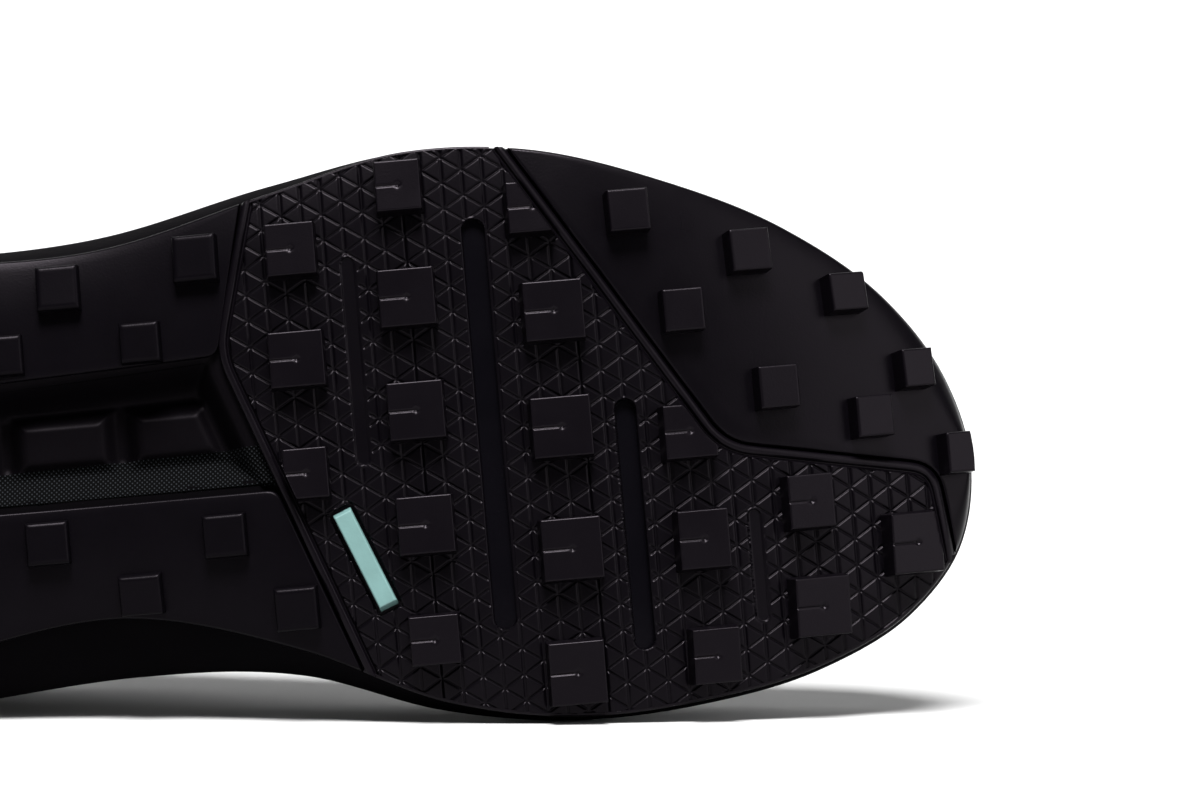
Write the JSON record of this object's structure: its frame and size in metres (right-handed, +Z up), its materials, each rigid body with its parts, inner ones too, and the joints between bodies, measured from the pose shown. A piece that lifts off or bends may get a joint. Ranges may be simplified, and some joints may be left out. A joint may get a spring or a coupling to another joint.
{
  "type": "hiking shoe",
  "caption": "Black hiking shoe for the right foot with a lugged rubber sole, lying on its inner side.",
  "frame": {"origin": "middle of the part's bounding box, on the floor", "axes": "+X from heel to toe along the floor, +Y from the sole towards the collar, +Z up from the floor"},
  "size_m": [0.3032, 0.1198, 0.1107],
  "materials": {
    "tread_rubber": "black rubber, matt with a soft sheen",
    "midsole_foam": "black moulded foam, matt",
    "upper_textile": "black woven textile",
    "overlay_film": "black film, satin",
    "lining_textile": "dark grey knit",
    "lace_cord": "black braided cord",
    "tab_rubber": "turquoise rubber, satin"
  },
  "bodies": {
    "root": {"eyestay": "overlay_film", "grip_tab": "tab_rubber", "heel_counter": "overlay_film", "insole": "lining_textile", "lace": "lace_cord", "midsole": "midsole_foam", "outsole_forefoot": "tread_rubber", "outsole_heel": "tread_rubber", "outsole_toe": "tread_rubber", "toe_cap": "overlay_film", "tongue": "upper_textile", "upper": "upper_textile"}
  },
  "joints": []
}
